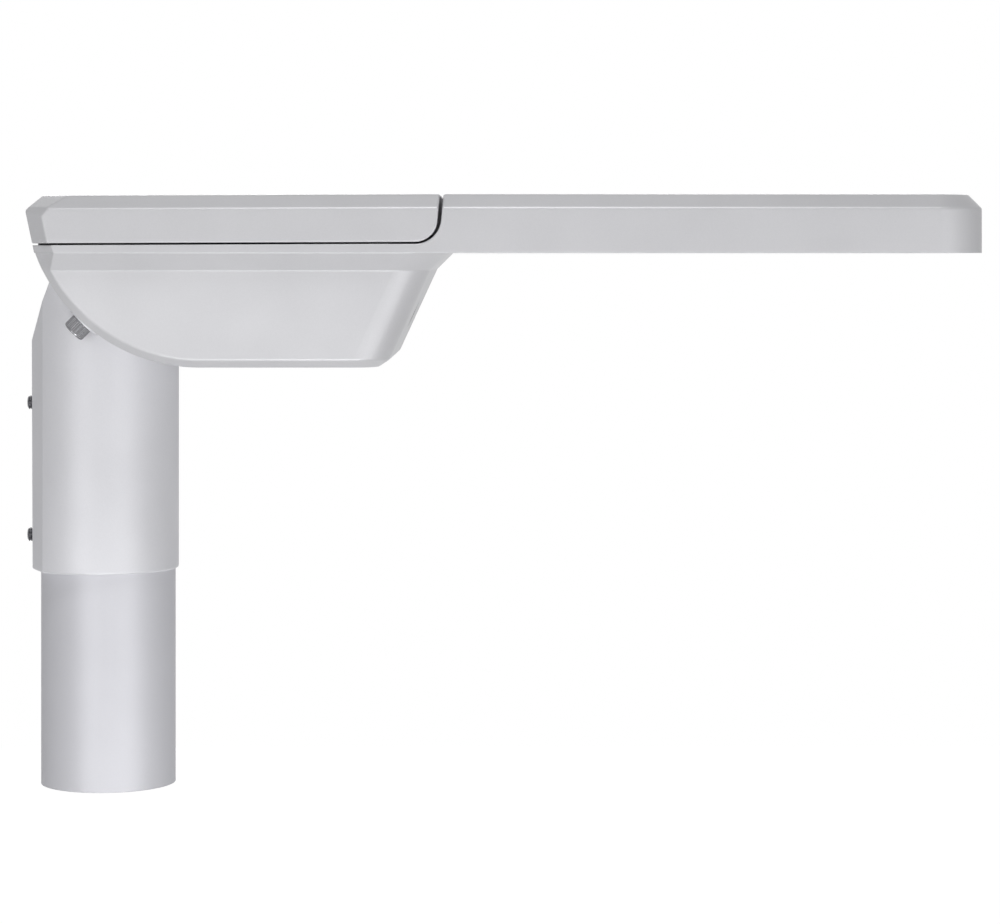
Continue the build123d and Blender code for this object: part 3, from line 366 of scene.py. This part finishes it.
def addPiece(name, mesh, material, body, replaced=()):
    piece = bpy.data.objects.new(name, mesh)
    bpy.context.scene.collection.objects.link(piece)
    mesh.materials.append(material)
    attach(piece, body)
    if replaced:
        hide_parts(*replaced)
    return piece


def aimed(point, direction):
    turn = Vector(direction).to_track_quat("Z", "Y").to_matrix().to_4x4()
    return Matrix.Translation(Vector(point) * mm) @ turn


# M8 socket head bolts of the tilt joint, square to the housing's rear cylinder
tiltBolt = {
    "axis": (61.6, 331.4), "faceRadius": 97.4, "angle": 45, "y": 52.0, "headRadius": 6.5, "headHeight": 8.0,
    "socketRadius": 3.46, "socketDepth": 4.0, "knurls": 36, "knurlDepth": 0.28, "shankRadius": 4.0,
    "reach": 14.3, "pitch": 1.25, "threadDepth": 0.55, "threadStart": 0.5, "rowsPerTurn": 6, "steps": 144,
}


def headRows(look, thread):
    top, radius, socket = look["headHeight"], look["headRadius"], look["socketRadius"]
    grip = knurlShape(look["knurls"], look["knurlDepth"])
    rows = [(0.05, top - look["socketDepth"] - 0.8, hexShape), (socket * 0.9, top - look["socketDepth"], hexShape),
            (socket, top - look["socketDepth"], hexShape), (socket, top - 0.35, hexShape),
            (socket + 0.45, top, hexShape), (radius - 1.0, top, roundShape), (radius - 0.5, top - 0.14, roundShape),
            (radius - 0.14, top - 0.5, roundShape), (radius - 0.05, top - 1.0, roundShape),
            (radius, top - 1.3, grip), (radius, 0.9, grip), (radius - 0.1, 0.6, roundShape),
            (radius - 0.5, 0.0, roundShape), (look["shankRadius"], 0.0, roundShape)]
    start, perTurn = look["threadStart"], look["rowsPerTurn"]
    turns = int((look["reach"] - start) / look["pitch"])
    for row in range(turns * perTurn):
        rows.append((look["shankRadius"], -start - row * look["pitch"] / perTurn, thread))
    rows.append((look["shankRadius"] - 0.9, -look["reach"] + 0.1, roundShape))
    return rows


def tiltBoltPlaces(look):
    turn = math.radians(look["angle"])
    outward = Vector((-math.sin(turn), 0, -math.cos(turn)))
    seat = Vector((look["axis"][0], 0, look["axis"][1])) + outward * look["faceRadius"]
    return [aimed(seat + Vector((0, side * look["y"], 0)), outward) for side in (-1, 1)]


boltThread = threadShape(tiltBolt["pitch"], tiltBolt["threadDepth"])
boltMesh = turnedMesh("tiltBolts", headRows(tiltBolt, boltThread), tiltBoltPlaces(tiltBolt), tiltBolt["steps"])
addPiece("tiltBolts", boltMesh, turnedSteel, "arm", ["tilt_bolts"])


# M8 set screws that clamp the spigot to the mast: threaded from end to end, with a hexagon socket
clampScrew = {
    "ends": (-45.8, -38.1), "heights": (140.7, 215.8), "radius": 4.0, "socketRadius": 2.3, "socketDepth": 3.6,
    "pitch": 1.25, "threadDepth": 0.6, "threadStart": 0.7, "rowsPerTurn": 8, "steps": 72,
}


def setScrewRows(look):
    length = look["ends"][1] - look["ends"][0]
    radius, socket, depth = look["radius"], look["socketRadius"], look["socketDepth"]
    thread = threadShape(look["pitch"], look["threadDepth"])
    rows = [(0.05, -depth - 0.6, hexShape), (socket, -depth, hexShape), (socket, -0.3, hexShape),
            (socket + 0.3, 0.0, hexShape), (radius - 1.0, 0.0, roundShape), (radius - 0.75, -0.2, roundShape)]
    start, perTurn = look["threadStart"], look["rowsPerTurn"]
    count = int((length - 2 * start) / look["pitch"] * perTurn)
    rows += [(radius, -start - row * look["pitch"] / perTurn, thread) for row in range(count)]
    rows += [(radius - 0.9, -length + 0.4, roundShape), (radius - 1.6, -length, roundShape)]
    return rows


clampPlaces = [aimed((clampScrew["ends"][0], 0, height), (-1, 0, 0)) for height in clampScrew["heights"]]
clampMesh = turnedMesh("clampScrews", setScrewRows(clampScrew), clampPlaces, clampScrew["steps"])
addPiece("clampScrews", clampMesh, turnedSteel, "arm", ["clamp_screws"])
print("bolts and set screws done")


# Pan head screws with hexagon sockets, seen from below through the glass and around it
underScrews = {
    "clipScrews": {"replaced": "clip_screws", "seatZ": 303.0, "headRadius": 3.0, "headHeight": 1.35,
                   "socketRadius": 1.5, "shankRadius": 1.5, "reach": 8.2, "steps": 36},
    "lensScrews": {"replaced": "lens_screws", "seatZ": 321.9, "headRadius": 2.8, "headHeight": 2.0,
                   "socketRadius": 1.4, "shankRadius": 1.4, "reach": 4.1, "steps": 36},
}
window = {"rearX": 212.0, "frontX": 471.0, "half": 108.0, "clipXs": (250, 342, 434), "clipYs": (-50, 50),
          "inset": 4.5}
lensGrid = {"x": 349.0, "plateLength": 196.0, "boardWidth": 146.0, "columns": 8, "rows": 3, "pitchX": 24.0,
            "pitchY": 44.0, "faceZ": 324.4, "screwInset": (4.5, 5.0)}


def panRows(look):
    radius, height, socket = look["headRadius"], look["headHeight"], look["socketRadius"]
    shank, reach = look["shankRadius"], look["reach"]
    return [(0.05, height * 0.35, hexShape), (socket, height * 0.4, hexShape), (socket, height - 0.12, hexShape),
            (socket + 0.12, height, hexShape), (radius - 0.8, height - 0.04, roundShape),
            (radius - 0.35, height - 0.2, roundShape), (radius - 0.08, height - 0.55, roundShape),
            (radius, height - 0.9, roundShape), (radius, 0.0, roundShape), (shank, 0.0, roundShape),
            (shank, -reach + 0.3, roundShape), (shank - 0.3, -reach, roundShape)]


def clipScrewSpots(look):
    out = look["half"] + look["inset"]
    spots = [(x, side * out) for x in look["clipXs"] for side in (-1, 1)]
    spots += [(look["rearX"] - look["inset"], y) for y in look["clipYs"]]
    spots += [(look["frontX"] + look["inset"], y) for y in look["clipYs"]]
    return spots


def lensScrewSpots(look):
    reachX = look["plateLength"] / 2 - look["screwInset"][0]
    reachY = look["boardWidth"] / 2 - look["screwInset"][1]
    return [(look["x"] + i * reachX, j * reachY) for i in (-1, 0, 1) for j in (-1, 1)]


spotLists = {"clipScrews": clipScrewSpots(window), "lensScrews": lensScrewSpots(lensGrid)}
for name, look in underScrews.items():
    places = [aimed((x, y, look["seatZ"]), (0, 0, -1)) for x, y in spotLists[name]]
    mesh = turnedMesh(name, panRows(look), places, look["steps"])
    addPiece(name, mesh, turnedSteel, "head", [look["replaced"]])


# Brass clamp screws with a slot each, down in the wells of the terminal block
wellScrew = {"x": 55.0, "ways": 5, "pitch": 9.4, "floorZ": 289.0, "radius": 2.2, "height": 1.6,
             "slotHalf": (1.9, 0.3), "slotDepth": 0.7, "steps": 96}


def slotRows(look):
    radius, top, deep = look["radius"], look["height"], look["slotDepth"]
    longHalf, shortHalf = look["slotHalf"]
    slot = slotShape(longHalf, shortHalf)
    return [(0.02, top - deep, roundShape), (1.0, top - deep, slot), (1.0, top, slot), (radius - 0.25, top, roundShape),
            (radius, top - 0.25, roundShape), (radius, 0.0, roundShape)]  # the slot's own size replaces its radius


def wellPlaces(look):
    middle = (look["ways"] - 1) / 2
    return [Matrix.Translation(Vector((look["x"], (way - middle) * look["pitch"], look["floorZ"])) * mm)
            for way in range(look["ways"])]


wellMesh = turnedMesh("terminalClampScrews", slotRows(wellScrew), wellPlaces(wellScrew), wellScrew["steps"])
addPiece("terminalClampScrews", wellMesh, turnedBrass, "head")


# Pressure vent in the slanted front wall: a low ribbed cap over its membrane
vent = {"x": 173.72, "z": 266.0, "lean": 24.6, "depth": 2.4, "radius": 8.0, "height": 2.2, "ribs": 24, "ribDepth": 0.5,
        "stemRadius": 5.05, "stemReach": 6.0, "steps": 96}


def ventRows(look):
    radius, top = look["radius"], look["height"]
    ribs = knurlShape(look["ribs"], look["ribDepth"])
    return [(0.05, top - 0.35, roundShape), (radius - 3.2, top - 0.35, roundShape), (radius - 2.9, top, roundShape),
            (radius - 0.8, top, roundShape), (radius - 0.25, top - 0.25, roundShape), (radius, top - 0.7, ribs),
            (radius, 0.3, ribs), (radius - 0.6, 0.0, roundShape), (look["stemRadius"], 0.0, roundShape),
            (look["stemRadius"], 0.1 - look["stemReach"], roundShape)]


ventTurn = math.radians(vent["lean"])
ventOut = Vector((math.cos(ventTurn), 0, -math.sin(ventTurn)))
ventSeat = Vector((vent["x"], 0, vent["z"])) - ventOut * vent["depth"]
ventMesh = turnedMesh("breatherVent", ventRows(vent), [aimed(ventSeat, ventOut)], vent["steps"])
addPiece("breatherVent", ventMesh, nodes["breather_vent"].data.materials[0], "head",
         ["breather_vent"])


# LED packages: a white moulded frame around a cushion of yellow phosphor silicone
ledLook = {"side": 5.0, "height": 0.9, "bevel": 0.25, "cupRadius": 2.05, "lipRadius": 2.2, "cupDepth": 0.15,
           "domeRise": 0.1, "steps": 32, "cornerReach": 1.33}  # a reach under 1.41 cuts the square's corners
packageWhite = {"darker": "#ECECE8", "lighter": "#F3F3F0", "roughness": 0.5, "ior": 1.5, "grainMm": 0.4,
                "depth": 0.01}
phosphor = {"darker": "#DDAF2C", "lighter": "#E8C24A", "roughness": 0.35, "ior": 1.5, "grainMm": 0.3,
            "depth": 0.005}


def makeSilicone(name, look):
    material, tree, surface, place = newMaterial(name, {"Roughness": look["roughness"], "IOR": look["ior"]})
    grain = noise(tree, place, look["grainMm"])
    tint(tree, surface, grain, look["darker"], look["lighter"])
    relief(tree, surface, grain, look["depth"])
    return material


def ledPlaces(look):
    places = []
    for i in range(look["columns"]):
        for j in range(look["rows"]):
            x = look["x"] + (i - (look["columns"] - 1) / 2) * look["pitchX"]
            y = (j - (look["rows"] - 1) / 2) * look["pitchY"]
            places.append(aimed((x, y, look["faceZ"]), (0, 0, -1)))
    return places


def squareShape(radius, angle, height):
    turn = (angle + math.pi / 4) % (math.pi / 2) - math.pi / 4
    return min(radius / math.cos(turn), radius * ledLook["cornerReach"])


def frameRows(look):
    half, top, bevel, cup = look["side"] / 2, look["height"], look["bevel"], look["cupDepth"]
    return [(0.05, top - cup - 0.1, roundShape), (look["cupRadius"] - 0.1, top - cup - 0.1, roundShape),
            (look["lipRadius"], top, roundShape), (half - bevel, top, squareShape), (half, top - bevel, squareShape),
            (half, 0.0, squareShape)]


def domeRows(look):
    foot = look["height"] - look["cupDepth"]
    return [(look["cupRadius"] * share, foot + look["domeRise"] * (1 - share ** 2), roundShape)
            for share in (0.02, 0.3, 0.6, 0.85, 1.0)]


frames = turnedMesh("ledFrames", frameRows(ledLook), ledPlaces(lensGrid), ledLook["steps"])
domes = turnedMesh("ledPhosphors", domeRows(ledLook), ledPlaces(lensGrid), ledLook["steps"])
addPiece("ledFrames", frames, makeSilicone("whiteMouldedSilicone", packageWhite), "head",
         ["led_packages"])
addPiece("ledPhosphors", domes, makeSilicone("phosphorSilicone", phosphor), "head")


# Low ribs on the housing's rim behind the seal, one each side of the catch: they darken the seam at the rear
rearRib = {"x": (-24.0, -22.8), "y": (15.0, 104.0), "z": (303.5, 305.7)}


def boxMesh(name, boxes):
    points, faces = [], []
    for xs, ys, zs in boxes:
        first = len(points)
        points += [Vector((x, y, z)) * mm for x in xs for y in ys for z in zs]
        faces += [tuple(first + i for i in face) for face in ((0, 1, 3, 2), (4, 6, 7, 5), (0, 4, 5, 1), (2, 3, 7, 6),
                                                              (0, 2, 6, 4), (1, 5, 7, 3))]
    mesh = bpy.data.meshes.new(name)
    mesh.from_pydata(points, [], faces)
    return mesh


nearY, farY = rearRib["y"]
ribBoxes = [(rearRib["x"], ys, rearRib["z"]) for ys in ((-farY, -nearY), (nearY, farY))]
addPiece("rearRibs", boxMesh("rearRibs", ribBoxes), nodes["housing"].data.materials[0], "head")


# The catch's leaf spring, copied and sliced into bands from its screws down to the button's stem, the stretch that the
# real spring bends over when the button is pressed
leafBend = {"fixedZ": 322.9, "movedZ": 318.5, "cuts": 12}


def bentLeaf(look):
    mesh = nodes["latch_spring"].data.copy()
    form = bmesh.new()
    form.from_mesh(mesh)
    for i in range(look["cuts"] + 1):
        height = look["movedZ"] + (look["fixedZ"] - look["movedZ"]) * i / look["cuts"]
        bmesh.ops.bisect_plane(form, geom=form.verts[:] + form.edges[:] + form.faces[:],
                               plane_co=(0, 0, height * mm), plane_no=(0, 0, 1))
    form.to_mesh(mesh)
    form.free()
    leaf = bpy.data.objects.new("leafSpring", mesh)
    bpy.context.scene.collection.objects.link(leaf)
    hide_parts("latch_spring")
    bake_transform(leaf)


bentLeaf(leafBend)
print("LED packages and small pieces done")


# Studio: pale floor, white backdrop, soft lamps and the camera

stage = {"floorSize": 16.0, "floorZ": -1.3, "floorColour": "#F4F4F4", "floorGlow": 1.18, "glowShare": 0.85,
         "worldStrength": 0.1}


def seenDirectly(tree):
    path = addNode(tree, "ShaderNodeLightPath")
    seen = path.outputs["Is Camera Ray"]
    for ray in ("Is Glossy Ray", "Is Transmission Ray"):
        seen = addNode(tree, "ShaderNodeMath", {"operation": "MAXIMUM"}, {0: seen, 1: path.outputs[ray]}).outputs[0]
    return seen


def makeWorld(look):
    world = bpy.data.worlds.new("studio")
    bpy.context.scene.world = world
    world.use_nodes = True
    tree = world.node_tree
    tree.nodes.clear()
    dim = addNode(tree, "ShaderNodeBackground", {"Color": (1, 1, 1, 1), "Strength": look["worldStrength"]})
    white = addNode(tree, "ShaderNodeBackground", {"Color": (1, 1, 1, 1), "Strength": 1.0})
    mix = addNode(tree, "ShaderNodeMixShader", links={0: seenDirectly(tree), 1: dim.outputs[0], 2: white.outputs[0]})
    addNode(tree, "ShaderNodeOutputWorld", links={"Surface": mix.outputs[0]})


def makeFloor(look):
    half = look["floorSize"] / 2
    mesh = bpy.data.meshes.new("floor")
    mesh.from_pydata([(-half, -half, 0), (half, -half, 0), (half, half, 0), (-half, half, 0)], [], [(0, 1, 2, 3)])
    floor = bpy.data.objects.new("floor", mesh)
    floor.location.z = look["floorZ"]  # well below, since the mast goes on under its cut
    bpy.context.scene.collection.objects.link(floor)
    material = bpy.data.materials.new("paintedStudioFloor")
    material.use_nodes = True
    tree = material.node_tree
    tree.nodes.clear()
    diffuse = addNode(tree, "ShaderNodeBsdfDiffuse", {"Color": srgb(look["floorColour"])})
    glow = addNode(tree, "ShaderNodeEmission", {"Color": (1, 1, 1, 1), "Strength": look["floorGlow"]})
    share = addNode(tree, "ShaderNodeMath", {"operation": "MULTIPLY"}, {0: seenDirectly(tree)})
    share.inputs[1].default_value = look["glowShare"]  # the rest stays diffuse and keeps the shadow
    mix = addNode(tree, "ShaderNodeMixShader", links={0: share.outputs[0], 1: diffuse.outputs[0], 2: glow.outputs[0]})
    addNode(tree, "ShaderNodeOutputMaterial", links={"Surface": mix.outputs[0]})
    mesh.materials.append(material)


studio = {"centre": (0.2, 0.0, 0.28), "distance": 2.0, "size": 0.6}  # in metres: what lamps aim at, from how far
lights = {  # turn is to the right of the camera and rise above the light's middle, in degrees; power is in watts
    "below": {"turn": 0, "rise": -50, "power": 19},
    "above": {"turn": 0, "rise": 58, "power": 13},
    "front": {"turn": 0, "rise": -16, "power": 1.5},
    "leftLow": {"turn": -30, "rise": -16, "power": 4.6},
    "leftHigh": {"turn": -30, "rise": 14, "power": 1.6},
    "rightLow": {"turn": 30, "rise": -16, "power": 4.2},
    "rightBelow": {"turn": 50, "rise": -26, "power": 4},
    "rearLeft": {"turn": -165, "rise": 28, "power": 8},
    "rearRight": {"turn": 165, "rise": 28, "power": 8},
}


def areaLight(name, look, room):
    lamp = bpy.data.lights.new(name, "AREA")
    lamp.size = room["size"]
    lamp.energy = look["power"]
    holder = bpy.data.objects.new(name, lamp)
    bpy.context.scene.collection.objects.link(holder)
    turn, rise = math.radians(look["turn"]), math.radians(look["rise"])
    away = Vector((math.sin(turn) * math.cos(rise), -math.cos(turn) * math.cos(rise), math.sin(rise)))
    holder.location = Vector(room["centre"]) + away * room["distance"]
    holder.rotation_euler = (-away).to_track_quat("-Z", "Y").to_euler()


makeWorld(stage)
makeFloor(stage)
for name, look in lights.items():
    areaLight(name, look, studio)

cameraLook = {
    "place": (0.2246, -1.700, 0.2996),  # level, square to the light's side
    "focalPx": 2985.0, "centrePx": (503.0, 255.0), "imagePx": (1000, 924), "sensorMm": 36.0,
}


def makeCamera(look):
    data = bpy.data.cameras.new("camera")
    camera = bpy.data.objects.new("camera", data)
    bpy.context.scene.collection.objects.link(camera)
    width, height = look["imagePx"]
    data.sensor_width = look["sensorMm"]
    data.lens = look["sensorMm"] * look["focalPx"] / width
    data.shift_x = (width / 2 - look["centrePx"][0]) / width
    data.shift_y = (look["centrePx"][1] - height / 2) / width
    camera.location = look["place"]
    camera.rotation_euler = (math.pi / 2, 0, 0)
    bpy.context.scene.camera = camera


makeCamera(cameraLook)
bpy.context.scene.view_settings.view_transform = "Standard"
print("stage done")
